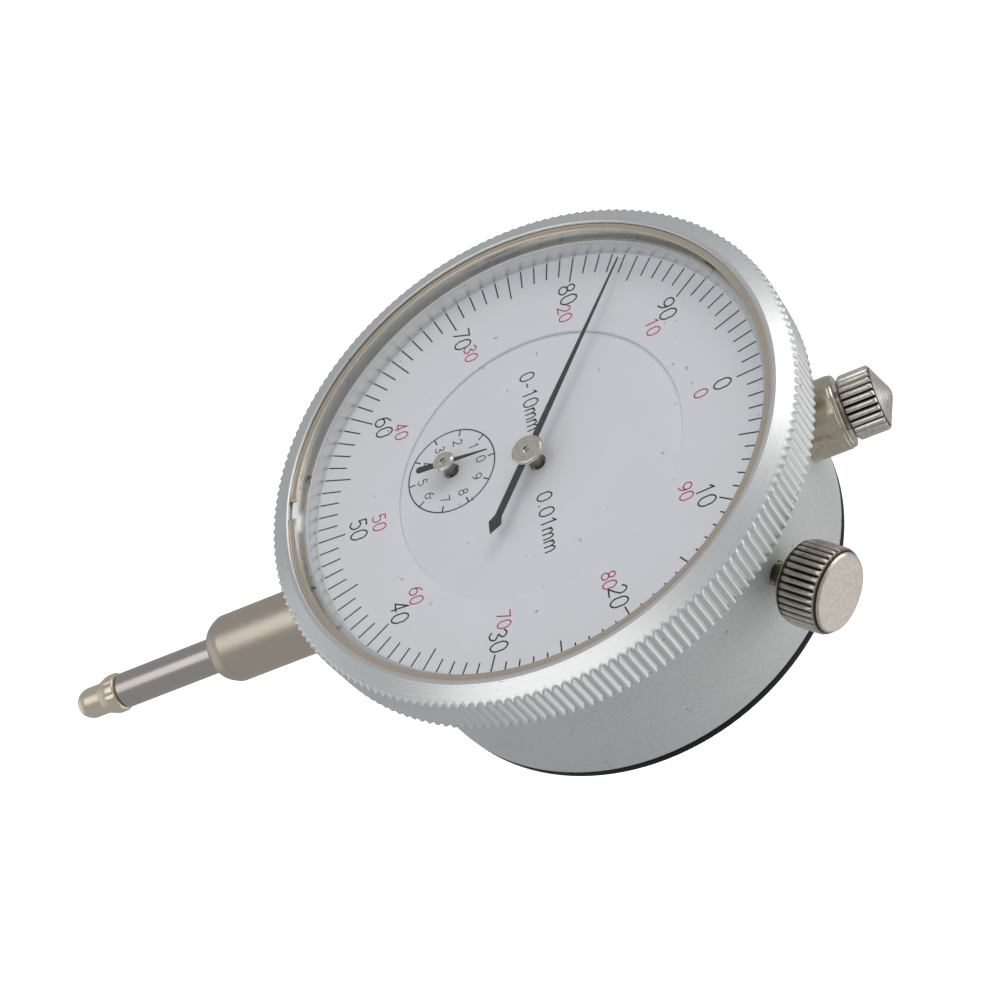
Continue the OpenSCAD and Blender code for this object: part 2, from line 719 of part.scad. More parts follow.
// The snap ring's gap stands just past 50 on the dial
module crystal_ring() {
    gap_angle = ring_gap / snap_r * 180 / PI;
    color([0.62, 0.52, 0.38]) on_dial() translate([0, 0, crystal_seat + crystal_t])
        rotate([0, 0, 90 - 51.6 * 3.6 + gap_angle / 2])
            rotate_extrude(angle = 360 - gap_angle)
                translate([snap_r - fit - snap_w, 0]) square([snap_w, snap_t]);
}

// ---- Spindle ----

module spindle() {
    low = count_y - travel - 1.8;
    high = count_y + 1.8;
    notches = ceil((high - low) / rack_pitch) + 2;
    first = -ceil((count_y - low) / rack_pitch) - 1;
    z0 = contact_top_z + fit;
    z1 = cap_bottom_z + cap_bore_h - fit;
    color([0.62, 0.62, 0.62]) difference() {
        translate([0, 0, z0]) cylinder(d = spindle_d, h = z1 - z0);
        // Bore for the contact point's stud, and hole for the anti-rotation pin
        translate([0, 0, z0 - 1]) cylinder(d = stud_d + 2 * fit, h = stud_h + 1.2);
        translate([-spindle_d, 0, dial_z + pin_y]) rotate([0, 90, 0])
            cylinder(d = pin_d + 2 * fit, h = 2 * spindle_d);
        // Flat down to the tips of the rack, with the gaps between its teeth
        translate([-rack_line - 0.8 * rack_m, 0, dial_z]) mirror([1, 0, 0])
            translate([0, -spindle_d, low]) cube([spindle_d, 2 * spindle_d, high - low]);
        translate([-rack_line, 0, dial_z + count_y]) rotate([90, 0, 0])
            translate([0, 0, -spindle_d]) linear_extrude(2 * spindle_d)
                for (i = [first : first + notches]) rack_gap(i, low - count_y, high - count_y);
    }
}

// Gap between two rack teeth: tooth centres stand at whole pitches
module rack_gap(i, low, high) {
    y = (i + 0.5) * rack_pitch;
    half = rack_pitch / 4 + 0.012;
    deep = 1.25 * rack_m;
    out = 0.8 * rack_m + eps;
    if (y > low + 0.3 && y < high - 0.3)
        polygon([[deep, y - half + deep * tan(20)], [-out, y - half - out * tan(20)],
                 [-out, y + half + out * tan(20)], [deep, y + half - deep * tan(20)]]);
}

module guide_pin() {
    color([0.6, 0.6, 0.62]) translate([-spindle_d / 2 + 0.3, 0, dial_z + pin_y]) rotate([0, 90, 0])
        cylinder(d = pin_d, h = pin_end_x + spindle_d / 2 - 0.3);
}

module contact_point() {
    z0 = contact_top_z - contact_collar_h;
    nose_r = contact_nose_d / 2;
    tip_r = nose_r * 1.02;
    color([0.8, 0.72, 0.55]) union() {
        translate([0, 0, contact_top_z - eps]) cylinder(d = stud_d, h = stud_h);
        translate([0, 0, z0]) rotate_extrude() polygon([
            [0, 0], [nose_r + 0.1, 0], [contact_collar_d / 2, contact_collar_h * 0.55],
            [contact_collar_d / 2, contact_collar_h - 0.35], [spindle_d / 2 - 0.25, contact_collar_h],
            [0, contact_collar_h]]);
        translate([0, 0, z0 - contact_nose_h]) rotate_extrude() polygon(concat(
            [for (a = [0 : 9 : 81]) [nose_r * sin(a), tip_r * (1 - cos(a))]],
            [[nose_r, tip_r], [nose_r, contact_nose_h + eps], [0, contact_nose_h + eps]]));
    }
}

module lift_cap() {
    color([0.7, 0.67, 0.62]) difference() {
        translate([0, 0, cap_bottom_z]) union() {
            knurl(cap_d, 0.28, 26, cap_band_h);
            cylinder(d = cap_d - 0.5, h = cap_band_h + eps);
            translate([0, 0, cap_band_h - eps])
                cylinder(d1 = cap_d + 2 * eps, d2 = 0.3, h = cap_cone_h + eps);
        }
        translate([0, 0, cap_bottom_z - 1]) cylinder(d = spindle_d + 2 * fit, h = cap_bore_h + 1);
    }
}

// ---- Centre arbor and hand ----

module centre_arbor() {
    color([0.66, 0.67, 0.7]) on_dial() union() {
        translate([0, 0, -bridge_rear]) cylinder(d = pivot_d, h = bridge_t + 0.2);
        translate([0, 0, -bridge_front + 0.1])
            cylinder(d = arbor_d, h = bridge_front - pinion_rear - 0.1 + eps);
        translate([0, 0, -pinion_rear]) rotate([0, 0, centres_angle + 180 / pinion_teeth])
            gear(gear_m, pinion_teeth, 0.9, 0.05, pinion_rear - pinion_front);
        translate([0, 0, -pinion_front - eps]) cylinder(d = arbor_d, h = pinion_front - arbor_end + eps);
        translate([0, 0, -arbor_end - eps])
            cylinder(d = pivot_d, h = arbor_end + hand_front + hand_hub_h / 2);
    }
}

hand_angle = preload * 360;

module hand() {
    color([0.08, 0.08, 0.09]) on_dial() rotate([0, 0, hand_angle]) translate([0, 0, hand_front - hand_t])
        difference() {
            union() {
                linear_extrude(hand_t)
                    polygon([[-0.08, hand_r], [0.08, hand_r], [0.42, 0], [0.42, -hand_tail_r + 2.2],
                             [0.8, -hand_tail_r + 1.3], [0, -hand_tail_r], [-0.8, -hand_tail_r + 1.3],
                             [-0.42, -hand_tail_r + 2.2], [-0.42, 0]]);
                cylinder(d = hand_hub_d - 0.6, h = hand_t);
            }
            translate([0, 0, -1]) cylinder(d = hand_neck_d + 2 * fit, h = 2);
        }
}

// A hub's disc and tube, on each side of its hand, with a neck between them
module hub(disc_d, disc_h, tube_d, neck_d, front) {
    translate([0, 0, -hand_tube_end]) difference() {
        union() {
            translate([0, 0, hand_tube_end + front + fit]) cylinder(d = disc_d, h = disc_h);
            cylinder(d = neck_d, h = hand_tube_end + front + disc_h / 2);
            cylinder(d = tube_d, h = hand_tube_end + front - hand_t - fit);
        }
        translate([0, 0, -1]) cylinder(d = pivot_d + 2 * fit, h = hand_tube_end + front + disc_h + 2);
    }
}

module hand_hub() {
    color([0.75, 0.73, 0.7]) on_dial()
        hub(hand_hub_d, hand_hub_h, hand_tube_d, hand_neck_d, hand_front);
}

// ---- Counter arbor and hand ----

module count_arbor() {
    pinion_0 = bridge_rear + 0.4;
    pinion_1 = stem_depth + spindle_d / 2;
    color([0.66, 0.67, 0.7]) on_dial() translate([count_x, count_y, 0]) union() {
        translate([0, 0, -plate_rear]) cylinder(d = pivot_d, h = plate_t + 0.2);
        translate([0, 0, -plate_front + 0.1]) cylinder(d = arbor_d, h = plate_front - 0.1 - arbor_end);
        translate([0, 0, -pinion_1]) rotate([0, 0, 180 / rack_teeth])
            gear(rack_m, rack_teeth, 0.9, 0.03, pinion_1 - pinion_0);
        translate([0, 0, -count_wheel_front - wheel_t - 0.8]) cylinder(d = collet_d, h = 0.8 - fit);
        translate([0, 0, -arbor_end - eps])
            cylinder(d = pivot_d, h = arbor_end + count_hand_front + count_hub_h / 2);
    }
}

// A toothed wheel with five openings between its spokes
module spoked_wheel(spokes) {
    difference() {
        gear(gear_m, wheel_teeth, 0.8, 0.03, wheel_t);
        translate([0, 0, -1]) cylinder(d = arbor_d + 2 * fit, h = wheel_t + 2);
        translate([0, 0, -1]) linear_extrude(wheel_t + 2) difference() {
            circle(r = wheel_tip_r - 1.6);
            circle(r = 2.2);
            for (i = [0 : spokes - 1])
                rotate(i * 360 / spokes) translate([0, -0.5]) square([wheel_tip_r, 1]);
        }
    }
}

module count_wheel() {
    color([0.85, 0.7, 0.35]) on_dial() translate([count_x, count_y, -count_wheel_front - wheel_t])
        rotate([0, 0, centres_angle]) spoked_wheel(5);
}

count_hand_angle = -preload * 36;

module count_hand() {
    color([0.08, 0.08, 0.09]) on_dial() translate([count_x, count_y, count_hand_front - hand_t])
        rotate([0, 0, count_hand_angle]) difference() {
            union() {
                linear_extrude(hand_t)
                    polygon([[-0.06, count_hand_r], [0.06, count_hand_r], [0.3, 0], [0.3, -count_tail_r],
                             [-0.3, -count_tail_r], [-0.3, 0]]);
                translate([0, -count_tail_r, 0]) cylinder(d = 0.8, h = hand_t);
                cylinder(d = count_hub_d - 0.5, h = hand_t);
            }
            translate([0, 0, -1]) cylinder(d = count_neck_d + 2 * fit, h = 2);
        }
}

module count_hub() {
    color([0.75, 0.73, 0.7]) on_dial() translate([count_x, count_y, 0])
        hub(count_hub_d, count_hub_h, count_tube_d, count_neck_d, count_hand_front);
}

// ---- Take-up arbor ----

module takeup_arbor() {
    color([0.66, 0.67, 0.7]) on_dial() translate([takeup[0], takeup[1], 0]) union() {
        translate([0, 0, -bridge_rear]) cylinder(d = pivot_d, h = bridge_rear - web_front);
        translate([0, 0, -bridge_front + 0.1]) cylinder(d = arbor_d, h = bridge_front - web_rear - 0.2);
        translate([0, 0, -takeup_wheel_front + fit]) cylinder(d = collet_d, h = 0.8);
    }
}

module takeup_wheel() {
    color([0.85, 0.7, 0.35]) on_dial() translate([takeup[0], takeup[1], -takeup_wheel_front - wheel_t])
        rotate([0, 0, centres_angle + 180]) spoked_wheel(5);
}

module hairspring_collet() {
    color([0.8, 0.65, 0.3]) behind(takeup[0], takeup[1], hairspring_front - 0.15)
        tube(collet_d / 2, arbor_d / 2 + fit, hairspring_w + 0.3);
}

// ---- Lock screw ----

module lock_tip() {
    color([0.8, 0.65, 0.3]) on_lock(tip_apex_r) union() {
        cylinder(r1 = 0, r2 = tip_r, h = tip_r);
        translate([0, 0, tip_r - eps]) cylinder(r = tip_r, h = screw_end_r - tip_base_r - fit + eps);
        translate([0, 0, screw_end_r - tip_apex_r - 0.1]) cylinder(d = swivel_d, h = swivel_h + 0.1);
    }
}

module lock_screw() {
    knob_0 = case_r + knob_gap;
    color([0.6, 0.57, 0.52]) on_lock(screw_end_r) difference() {
        cylinder(d = lock_d, h = knob_0 + 3 - screw_end_r);
        translate([0, 0, -1]) cylinder(d = swivel_d + 2 * run, h = swivel_h + 1 + 2 * run);
    }
}

module lock_knob() {
    r = knob_d / 2;
    color([0.66, 0.62, 0.56]) on_lock(case_r + knob_gap) difference() {
        union() {
            intersection() {
                knurl(knob_d, 0.25, 36, knob_h - 0.7);
                rotate_extrude() polygon([[0, 0], [r - 1.6, 0], [r - 0.9, 0.25], [r - 0.35, 0.75],
                    [r - 0.05, 1.4], [r + 1, 2.2], [r + 1, knob_h], [0, knob_h]]);
            }
            translate([0, 0, knob_h - 0.7 - eps]) cylinder(r = r - 0.15, h = 0.2 + eps);
            translate([0, 0, knob_h - 0.5 - eps]) cylinder(r1 = r - 0.15, r2 = r - 0.6, h = 0.5 + eps);
        }
        translate([0, 0, -1]) cylinder(d = lock_d + 2 * fit, h = 4 + 2 * fit);
    }
}

// The plunger's rear end is cut to 45 degrees, to lie on the tip's cone
module brake_plunger() {
    color([0.8, 0.65, 0.3]) on_dial() rotate([0, 0, -lock_angle]) difference() {
        translate([0, plunger_r, -lock_depth]) cylinder(d = plunger_d, h = lock_depth - plunger_front);
        translate([-2, tip_apex_r, -lock_depth + fit]) rotate([45, 0, 0])
            translate([0, -6, -6]) cube([4, 12, 6]);
        translate([-2, tip_base_r - fit, -lock_depth - 1]) cube([4, 4, 1 + tip_r + fit]);
    }
}

case_shell();
stem();
top_bush();
back_cover();
cover_screws();
web_bushes();
bridge();
bridge_bushes();
bridge_posts();
bridge_screws();
rear_plate();
rear_plate_bush();
plate_posts();
plate_screws();
guide_rail();
guide_screws();
spring_post();
measuring_spring();
hairspring();
hairspring_stud();
dial_centre();
dial_feet();
bezel_wire();
bezel();
dial_ring();
crystal();
crystal_ring();
spindle();
guide_pin();
contact_point();
lift_cap();
centre_arbor();
hand();
hand_hub();
count_arbor();
count_wheel();
count_hand();
count_hub();
takeup_arbor();
takeup_wheel();
hairspring_collet();
lock_tip();
lock_screw();
lock_knob();
brake_plunger();
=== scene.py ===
"""Plunger dial indicator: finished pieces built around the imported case, spindle and movement."""
import math
import bmesh
import bpy
from mathutils import Matrix, Vector


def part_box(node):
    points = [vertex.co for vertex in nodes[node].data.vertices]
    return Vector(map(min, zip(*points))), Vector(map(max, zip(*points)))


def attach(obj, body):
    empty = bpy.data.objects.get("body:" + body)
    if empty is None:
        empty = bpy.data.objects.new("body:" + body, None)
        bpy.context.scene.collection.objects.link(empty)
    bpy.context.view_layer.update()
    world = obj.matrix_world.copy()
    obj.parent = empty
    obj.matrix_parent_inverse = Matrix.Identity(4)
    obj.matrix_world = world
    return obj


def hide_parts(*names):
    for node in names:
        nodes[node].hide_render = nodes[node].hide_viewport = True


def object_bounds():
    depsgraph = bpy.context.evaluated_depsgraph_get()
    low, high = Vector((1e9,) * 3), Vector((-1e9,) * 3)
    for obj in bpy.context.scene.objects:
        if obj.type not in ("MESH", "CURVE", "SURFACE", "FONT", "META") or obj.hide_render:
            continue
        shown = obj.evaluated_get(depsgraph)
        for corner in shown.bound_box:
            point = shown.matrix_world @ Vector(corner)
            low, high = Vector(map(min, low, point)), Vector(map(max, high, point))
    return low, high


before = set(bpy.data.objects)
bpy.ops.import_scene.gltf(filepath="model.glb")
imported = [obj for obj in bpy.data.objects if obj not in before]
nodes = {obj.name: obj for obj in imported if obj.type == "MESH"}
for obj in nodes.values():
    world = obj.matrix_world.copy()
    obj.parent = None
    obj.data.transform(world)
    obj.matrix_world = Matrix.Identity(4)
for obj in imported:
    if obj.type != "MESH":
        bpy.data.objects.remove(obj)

cad_box = [list(corner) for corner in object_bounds()]
scene = bpy.context.scene

# ---- Camera, floor and light ----
# A bare studio: a white floor that rises at its edge but casts no light on the piece, a
# large soft light in front, others to the right, above and behind, and a grey room.
back = Vector((0.6097, -0.7310, 0.3065))
right = Vector((0.1010, 0.4552, 0.8846))
camera = bpy.data.objects.new("camera", bpy.data.cameras.new("camera"))
camera.data.lens = 71.1
camera.data.clip_start = 0.01
camera.matrix_world = (Matrix.Translation((0.1280, -0.1605, 0.0934))
                       @ Matrix((right, back.cross(right), back)).transposed().to_4x4())
scene.collection.objects.link(camera)
scene.camera = camera
scene.view_settings.view_transform = "Standard"

room = bpy.data.worlds.new("room")
room.use_nodes = True
room.node_tree.nodes["Background"].inputs["Color"].default_value = (0.95, 0.97, 1.0, 1)
room.node_tree.nodes["Background"].inputs["Strength"].default_value = 0.45
scene.world = room


def soft_light(name, direction, distance, width, height, power):
    lamp = bpy.data.lights.new(name, "AREA")
    lamp.shape, lamp.size, lamp.size_y, lamp.energy = "RECTANGLE", width, height, power
    lamp.color = (1.0, 0.985, 0.965)
    holder = bpy.data.objects.new(name, lamp)
    away = Vector(direction).normalized()
    holder.matrix_world = (Matrix.Translation(Vector((0, -0.01, 0.03)) + away * distance)
                           @ away.to_track_quat("Z", "Y").to_matrix().to_4x4())
    scene.collection.objects.link(holder)


soft_light("key_light", (0.20, -0.93, -0.30), 0.90, 0.70, 0.80, 2.1)
soft_light("side_light", (-0.52, -0.68, 0.52), 0.80, 0.40, 0.40, 1.1)
soft_light("over_light", (-0.10, 0.12, 0.98), 0.80, 0.60, 0.60, 1.8)
soft_light("under_light", (-0.05, 0.02, -1.0), 0.80, 0.60, 0.60, 0.5)
soft_light("back_light", (0.27, 0.77, 0.58), 0.90, 0.70, 0.70, 0.75)

stage = bmesh.new()
ring = [stage.verts.new(p) for p in [(0, 0, 0), (1.6, 0, 0), (1.85, 0, 0.06), (2.0, 0, 0.25), (2.0, 0, 0.6)]]
for start, end in zip(ring, ring[1:]):
    stage.edges.new((start, end))
bmesh.ops.spin(stage, geom=stage.verts[:] + stage.edges[:], cent=(0, 0, 0), axis=(0, 0, 1),
               dvec=(0, 0, 0), angle=math.tau, steps=64, use_merge=True)
bmesh.ops.remove_doubles(stage, verts=stage.verts[:], dist=1e-5)
bmesh.ops.recalc_face_normals(stage, faces=stage.faces[:])
bmesh.ops.reverse_faces(stage, faces=stage.faces[:])
bmesh.ops.translate(stage, verts=stage.verts[:], vec=(0, 0, cad_box[0][2] - 0.12))
floor = bpy.data.objects.new("floor", bpy.data.meshes.new("floor"))
stage.to_mesh(floor.data)
stage.free()
for face in floor.data.polygons:
    face.use_smooth = True
scene.collection.objects.link(floor)
floor.visible_diffuse = floor.visible_glossy = False
paper = bpy.data.materials.new("floor_paper")
paper.use_nodes = True
sheet = paper.node_tree.nodes["Principled BSDF"]
sheet.inputs["Base Color"].default_value = (0.9, 0.9, 0.9, 1)
sheet.inputs["Roughness"].default_value = 0.9
sheet.inputs["Emission Color"].default_value = (1, 1, 1, 1)
sheet.inputs["Emission Strength"].default_value = 0.85
floor.data.materials.append(paper)

# ---- Case ----
# Cast body in pale grey-green satin paint, with a fine sandy grain, a turned rear edge
# and bores for the stem, the bush and the lock screw.


class Tone:
    """A value that varies over a surface. Sums written with it become Math nodes."""

    def __init__(self, finish, socket):
        self.finish, self.socket = finish, socket

    def math(self, operation, *values):
        return self.finish.add("Math", {"operation": operation}, dict(enumerate(values)))

    def __add__(self, other):
        return self.math("ADD", self, other)

    def __sub__(self, other):
        return self.math("SUBTRACT", self, other)

    def __rsub__(self, other):
        return self.math("SUBTRACT", other, self)

    def __mul__(self, other):
        return self.math("MULTIPLY", self, other)

    __radd__, __rmul__ = __add__, __mul__

    def ramp(self, low, high):
        """0 below low, 1 above high"""
        return self.finish.add("MapRange", {"interpolation_type": "SMOOTHSTEP"},
                               {"Value": self, "From Min": low, "From Max": high})


class Finish:
    """A material whose nodes are added one by one to its shader."""

    def __init__(self, name, metallic, **constants):
        self.material = bpy.data.materials.new(name)
        self.material.use_nodes = True
        self.tree = self.material.node_tree
        self.shader = self.tree.nodes["Principled BSDF"]
        self.shader.inputs["Metallic"].default_value = metallic
        for socket, value in constants.items():
            self.shader.inputs[socket.replace("_", " ")].default_value = value
        self.place = self.add("TexCoord", {}, {}, "Object")

    def add(self, kind, settings, sockets, out=0):
        node = self.tree.nodes.new("ShaderNode" + kind)
        for name, value in settings.items():
            setattr(node, name, value)
        for name, value in sockets.items():
            if isinstance(value, Tone):
                self.tree.links.new(value.socket, node.inputs[name])
            else:
                node.inputs[name].default_value = value
        return Tone(self, node.outputs[out])

    def noise(self, scale, detail=3.0, rough=0.5, at=None):
        return self.add("TexNoise", {}, {"Vector": at or self.place, "Scale": scale, "Detail": detail,
                                         "Roughness": rough})

    def lines(self, along, scale, detail=4.0):
        """Fine lines across one value, such as the height up a turned shaft"""
        return self.add("TexNoise", {"noise_dimensions": "1D"},
                        {"W": along * scale, "Scale": 1.0, "Detail": detail})

    def axis(self, letter):
        return self.add("SeparateXYZ", {}, {"Vector": self.place}, letter)

    def blend(self, share, first, second):
        return self.add("Mix", {"data_type": "RGBA"}, {0: share, 6: first, 7: second}, 2)

    def wear(self, colour=None, roughness=None, height=None, depth=0.0):
        for socket, value in (("Base Color", colour), ("Roughness", roughness)):
            if value is not None:
                self.tree.links.new(value.socket, self.shader.inputs[socket])
        if height is not None:
            bump = self.add("Bump", {}, {"Height": height, "Strength": 1.0, "Distance": depth})
            self.tree.links.new(bump.socket, self.shader.inputs["Normal"])
        return self.material


paint = Finish("case_paint", 0.0, Coat_Weight=0.25, Coat_Roughness=0.35)
sand = paint.noise(2600.0, 4.0, 0.6)
cloud = paint.noise(90.0, 2.0)
specks = (paint.noise(1500.0, 1.0) - 0.72) * 18.0
specks = specks.ramp(0.0, 1.0)
tint = paint.blend(sand.ramp(0.3, 0.7), (0.55, 0.585, 0.565, 1), (0.64, 0.67, 0.65, 1))
tint = paint.blend(cloud.ramp(0.35, 0.75) * 0.35, tint, (0.68, 0.705, 0.69, 1))
tint = paint.blend(specks * 0.6, tint, (0.12, 0.12, 0.11, 1))
case_paint = paint.wear(tint, 0.36 + sand * 0.16, sand + cloud * 2.0, 0.00003)


def finished_copy(node, material, easing=0.0, edges=None, limit=32.0):
    """A welded copy of a CAD node, with chosen sharp edges eased and round walls shaded smooth"""
    mesh = bmesh.new()
    mesh.from_mesh(nodes[node].data)
    bmesh.ops.remove_doubles(mesh, verts=mesh.verts[:], dist=2e-6)
    bmesh.ops.dissolve_degenerate(mesh, edges=mesh.edges[:], dist=1e-7)
    if easing:
        sharp = [e for e in mesh.edges if e.is_manifold and e.calc_face_angle(0) > math.radians(limit)
                 and (edges is None or edges(e))]
        bmesh.ops.bevel(mesh, geom=sharp, offset=easing, offset_type="OFFSET", affect="EDGES", segments=2,
                        profile=0.5, material=-1, clamp_overlap=True)
    return piece(node + "_finish", mesh, material, limit, node)


def piece(name, mesh, material, limit=32.0, node=None):
    """Turns a bmesh into an object, smooth except at edges sharper than limit"""
    for edge in mesh.edges:
        edge.smooth = not (edge.is_manifold and edge.calc_face_angle(0) > math.radians(limit))
    for face in mesh.faces:
        face.smooth = True
    thing = bpy.data.objects.new(name, bpy.data.meshes.new(name))
    mesh.to_mesh(thing.data)
    mesh.free()
    thing.data.materials.append(material)
    scene.collection.objects.link(thing)
    return thing


def given(thing, body, node):
    """The piece moves with its body and stands for a CAD node"""
    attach(thing, body)
    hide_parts(node)


low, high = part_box("dial_ring")
dial_z = (low.z + high.z) / 2
face_y = low.y
on_dial = (Matrix.Translation((0, face_y, dial_z)) @ Matrix.Rotation(math.radians(90), 4, "X")
           @ Matrix.Scale(0.001, 4))
CASE_R = 26.0
REAR = 21.5


def rear_rim(edge):
    spots = [on_dial.inverted() @ v.co for v in edge.verts]
    return all(abs(math.hypot(p.x, p.y) - CASE_R) < 0.1 and abs(p.z + REAR) < 0.05 for p in spots)


case = finished_copy("case_shell", case_paint, 0.00022, rear_rim)
given(case, "case", "case_shell")

# ---- Back cover, its lug and screws ----
# Black moulded cover with a lug across its middle, held by four slotted countersunk
# screws of plated steel.
plastic = Finish("cover_plastic", 0.0, Specular_IOR_Level=0.15)
grain = plastic.noise(3500.0, 3.0)
black_tint = plastic.blend(grain.ramp(0.3, 0.7), (0.003, 0.003, 0.0035, 1), (0.008, 0.008, 0.009, 1))
cover_plastic = plastic.wear(black_tint, 0.42 + grain * 0.2, grain, 0.00004)
cover = finished_copy("back_cover", cover_plastic, 0.00018, None, 50.0)
given(cover, "case", "back_cover")


def metal(name, dark, light, rough, spread, scale, depth=0.000004, brushed=None, painted_shade=None):
    """Metal with a fine grain: all round, or in lines across the brushed value, and darkened
    with painted shade, a near-black brown, where the shade mask given for it is 1"""
    finish = Finish(name, 1.0)
    fine = finish.noise(scale, 4.0, 0.6)
    stain = finish.noise(scale / 14, 2.0)
    if brushed:
        fine = finish.lines(brushed(finish), scale * 4) * 0.8 + fine * 0.2
    colour = finish.blend(fine.ramp(0.25, 0.75) * 0.75 + stain * 0.25, dark, light)
    if painted_shade:
        # Painted shade: a near-black brown blended in by the mask, in knurl grooves and where hub tubes sink
        # into the dial
        colour = finish.blend(painted_shade(finish), colour, (0.05, 0.04, 0.03, 1))
    return finish.wear(colour, rough + (fine - 0.5) * spread + (stain - 0.5) * 0.08, fine, depth)


def radius_from_centre(finish):
    """Distance from the dial's axis, for lines left by turning"""
    moved = finish.add("Mapping", {}, {"Vector": finish.place, "Location": (0, 0, -dial_z),
                                       "Scale": (1, 0.35, 1)})
    return finish.add("VectorMath", {"operation": "LENGTH"}, {0: moved}, "Value")


def in_grooves(point, along, bottom, crest):
    """Mask of painted shade: 1 at the bottom of a knurl's grooves and 0 on its crests, from the distance to
    its axis
    """
    def share(finish):
        reach = finish.add("VectorMath", {"operation": "SUBTRACT"}, {0: finish.place, 1: point})
        side = finish.add("VectorMath", {"operation": "CROSS_PRODUCT"}, {0: reach, 1: along})
        distance = finish.add("VectorMath", {"operation": "LENGTH"}, {0: side}, "Value")
        reach_mm = distance * 1000.0
        return (1 - reach_mm.ramp(bottom, crest)) * reach_mm.ramp(bottom - 0.12, bottom - 0.08)
    return share


def height_up(finish):
    return finish.axis("Z")


screw_steel = metal("screw_steel", (0.42, 0.42, 0.41, 1), (0.62, 0.61, 0.59, 1), 0.30, 0.2, 4000.0)
screws = finished_copy("cover_screws", screw_steel, 0.00005, None, 50.0)
given(screws, "case", "cover_screws")

# ---- Stem ----
# Brass tube, satin nickel plated, with a rounded end that tapers to the spindle.
steps_round = 96


def turned(outline, matrix, steps=steps_round, carve=None):
    """Spins an outline of [radius, height, rounding] about the local z axis, then places it"""
    mesh = bmesh.new()
    points = [mesh.verts.new((r, 0, z)) for r, z, *_ in outline]
    for start, end in zip(points, points[1:]):
        mesh.edges.new((start, end))
    if outline[0][0] > 0 and outline[-1][0] > 0:
        mesh.edges.new((points[-1], points[0]))
    for point, (r, z, *rounding) in zip(points, outline):
        if rounding:
            bmesh.ops.bevel(mesh, geom=[point], offset=rounding[0], offset_type="OFFSET", affect="VERTICES",
                            segments=4, profile=0.5, material=-1)
    bmesh.ops.spin(mesh, geom=mesh.verts[:] + mesh.edges[:], cent=(0, 0, 0), axis=(0, 0, 1), dvec=(0, 0, 0),
                   angle=math.tau, steps=steps, use_merge=True)
    bmesh.ops.remove_doubles(mesh, verts=mesh.verts[:], dist=0.0005)
    if carve:
        for v in mesh.verts:
            carve(v)
    bmesh.ops.recalc_face_normals(mesh, faces=mesh.faces[:])
    bmesh.ops.transform(mesh, matrix=matrix, verts=mesh.verts[:])
    return mesh


upright = Matrix.Scale(0.001, 4)
low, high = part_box("stem")
stem_low, stem_high = low.z * 1000, high.z * 1000
stem_r = high.x * 1000
bore_r = 2.13
stem_nickel = metal("stem_nickel", (0.50, 0.44, 0.37, 1), (0.64, 0.57, 0.485, 1), 0.40, 0.08, 9000.0,
                    0.000002)
stem = piece("stem_finish", turned([
    (bore_r, stem_low, 0.05), (2.9, stem_low, 0.2), (3.5, stem_low + 0.7, 0.3), (stem_r, stem_low + 1.8, 0.2),
    (stem_r, 9.3), (stem_r - 0.2, 9.45), (stem_r - 0.2, stem_high), (bore_r, stem_high)],
    upright), stem_nickel)
given(stem, "case", "stem")

# ---- Top bush ----
# Short bush of polished nickel plate pressed into the top of the case, with a rounded rim.
low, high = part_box("top_bush")
bush_r = high.x * 1000
bush_low, bush_high = low.z * 1000, high.z * 1000
bush_nickel = metal("bush_nickel", (0.46, 0.395, 0.30, 1), (0.64, 0.57, 0.46, 1), 0.16, 0.10, 2600.0, 0.00001)
bush = piece("top_bush_finish", turned([
    (bore_r, bush_low), (bush_r, bush_low), (bush_r, bush_high - 0.5, 0.08),
    (bush_r - 0.12, bush_high - 0.42, 0.06),
    (bush_r - 0.06, bush_high - 0.3, 0.05), (bush_r - 0.16, bush_high, 0.14), (bush_r - 0.8, bush_high, 0.08),
    (bush_r - 1.0, bush_high - 0.15, 0.05), (bore_r, bush_high - 0.15, 0.05)], upright), bush_nickel)
given(bush, "case", "top_bush")

# ---- Bezel ----
# Turned aluminium ring, satin finished: a narrow worn lip, a cone, and a straight knurl
# whose grooves run out in points on the cone.
BEZEL_R = 30.0
FRONT = 3.85
SKIRT = 2.26
RIDGES = 188
SEAT = 2.2
GLASS = 1.0
bezel_finish = Finish("bezel_aluminium", 1.0)
turning = bezel_finish.lines(radius_from_centre(bezel_finish), 9000.0)
grit = bezel_finish.noise(2500.0, 4.0, 0.65)
wide = bezel_finish.noise(160.0, 3.0)
radius = bezel_finish.add("VectorMath", {"operation": "LENGTH"}, {0: bezel_finish.add(
    "Mapping", {}, {"Vector": bezel_finish.place, "Location": (0, 0, -dial_z), "Scale": (1, 0, 1)})}, "Value")
on_lip = 1 - (radius * 1000.0).ramp(28.15, 28.5)
pits = (bezel_finish.noise(700.0, 5.0, 0.7) - 0.66).ramp(0.0, 0.05) * on_lip
scuffs = (bezel_finish.noise(1100.0, 2.0) - 0.74).ramp(0.0, 0.03)
bare = bezel_finish.blend(turning.ramp(0.3, 0.7) * 0.5 + grit * 0.5, (0.66, 0.68, 0.67, 1),
                          (0.86, 0.87, 0.86, 1))
bare = bezel_finish.blend(wide.ramp(0.4, 0.8) * 0.3, bare, (0.70, 0.715, 0.70, 1))
bare = bezel_finish.blend((pits + scuffs) * 0.65, bare, (0.14, 0.13, 0.12, 1))
bezel_metal = bezel_finish.wear(bare, 0.36 + (turning - 0.5) * 0.12 + pits * 0.25,
                                turning * 0.6 + grit * 0.4 - pits, 0.000012)


